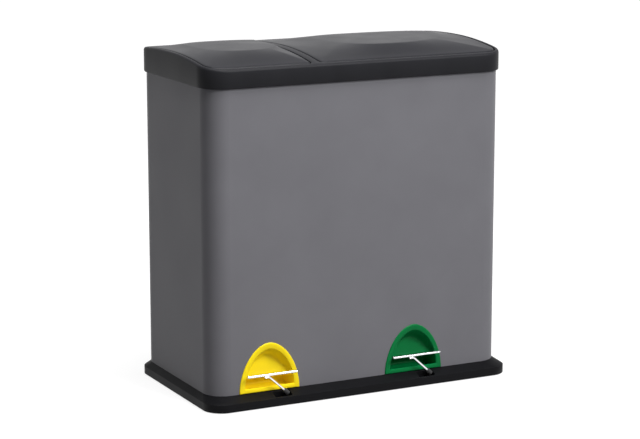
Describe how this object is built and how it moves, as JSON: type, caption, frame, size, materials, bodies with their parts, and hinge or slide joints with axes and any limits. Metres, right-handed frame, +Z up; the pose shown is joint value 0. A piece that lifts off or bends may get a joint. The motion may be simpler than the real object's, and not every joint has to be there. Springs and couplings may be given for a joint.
{
  "type": "double recycling bin",
  "caption": "Free-standing steel pedal bin with two lidded compartments, one small and one large, each with its own foot pedal and lift-out bucket.",
  "frame": {"origin": "on the floor, at the middle of the plinth's footprint", "axes": "+Z up, +X to the right seen from the front, +Y from the front (pedals) to the back (hinges)"},
  "size_m": [0.596, 0.3286, 0.61],
  "materials": {
    "grey_steel": "fine satin powder coat on sheet steel",
    "black_plastic": "satin moulded polypropylene",
    "lid_plastic": "satin moulded polypropylene",
    "rubber": "matte rubber",
    "zinc_steel": "zinc plated",
    "bucket_plastic": "satin moulded polypropylene",
    "yellow_plastic": "semi-gloss moulded plastic",
    "green_plastic": "semi-gloss moulded plastic",
    "chrome_wire": "bright chrome plate"
  },
  "bodies": {
    "root": {"body_shell": "grey_steel", "base_plinth": "black_plastic", "lid_frame": "black_plastic", "rubber_feet": "rubber", "lid_bumpers": "rubber", "base_screws": "zinc_steel", "frame_screws": "zinc_steel", "bracket_screws": "zinc_steel", "guide_rivets": "zinc_steel", "bucket_left": "bucket_plastic", "pedal_recess_left": "yellow_plastic", "rod_guides_left": "black_plastic", "pivot_bracket_left": "zinc_steel", "pivot_pin_left": "zinc_steel", "hinge_pins_left": "zinc_steel", "bucket_right": "bucket_plastic", "pedal_recess_right": "green_plastic", "rod_guides_right": "black_plastic", "pivot_bracket_right": "zinc_steel", "pivot_pin_right": "zinc_steel", "hinge_pins_right": "zinc_steel"},
    "lid_left": {"lid_left": "lid_plastic"},
    "pedal_left": {"foot_bar_left": "chrome_wire", "stem_wire_left": "chrome_wire", "pedal_sleeve_left": "rubber", "lever_arm_left": "zinc_steel"},
    "rod_left": {"lift_rod_left": "zinc_steel"},
    "lid_right": {"lid_right": "lid_plastic"},
    "pedal_right": {"foot_bar_right": "chrome_wire", "stem_wire_right": "chrome_wire", "pedal_sleeve_right": "rubber", "lever_arm_right": "zinc_steel"},
    "rod_right": {"lift_rod_right": "zinc_steel"}
  },
  "joints": [
    {"name": "lid_left_hinge", "type": "hinge", "parent": "root", "child": "lid_left", "pos_m": [0, 0.13225, 0.5935], "axis": [-1, 0, 0], "range_deg": [0, 75]},
    {"name": "pedal_left_hinge", "type": "hinge", "parent": "root", "child": "pedal_left", "pos_m": [0, -0.0168, 0.036], "axis": [1, 0, 0], "range_deg": [0, 7.1]},
    {"name": "rod_left_slide", "type": "slide", "parent": "root", "child": "rod_left", "axis": [0, 0, 1], "range_m": [0, 0.01706]},
    {"name": "lid_right_hinge", "type": "hinge", "parent": "root", "child": "lid_right", "pos_m": [0, 0.13225, 0.5935], "axis": [-1, 0, 0], "range_deg": [0, 75]},
    {"name": "pedal_right_hinge", "type": "hinge", "parent": "root", "child": "pedal_right", "pos_m": [0, -0.0168, 0.036], "axis": [1, 0, 0], "range_deg": [0, 7.1]},
    {"name": "rod_right_slide", "type": "slide", "parent": "root", "child": "rod_right", "axis": [0, 0, 1], "range_m": [0, 0.01706]}
  ],
  "couplings": [
    {"joint": "pedal_left_hinge", "follows": "lid_left_hinge", "ratio": 0.094638},
    {"joint": "rod_left_slide", "follows": "lid_left_hinge", "m_per_rad": 0.013022},
    {"joint": "pedal_right_hinge", "follows": "lid_right_hinge", "ratio": 0.094638},
    {"joint": "rod_right_slide", "follows": "lid_right_hinge", "m_per_rad": 0.013022}
  ]
}
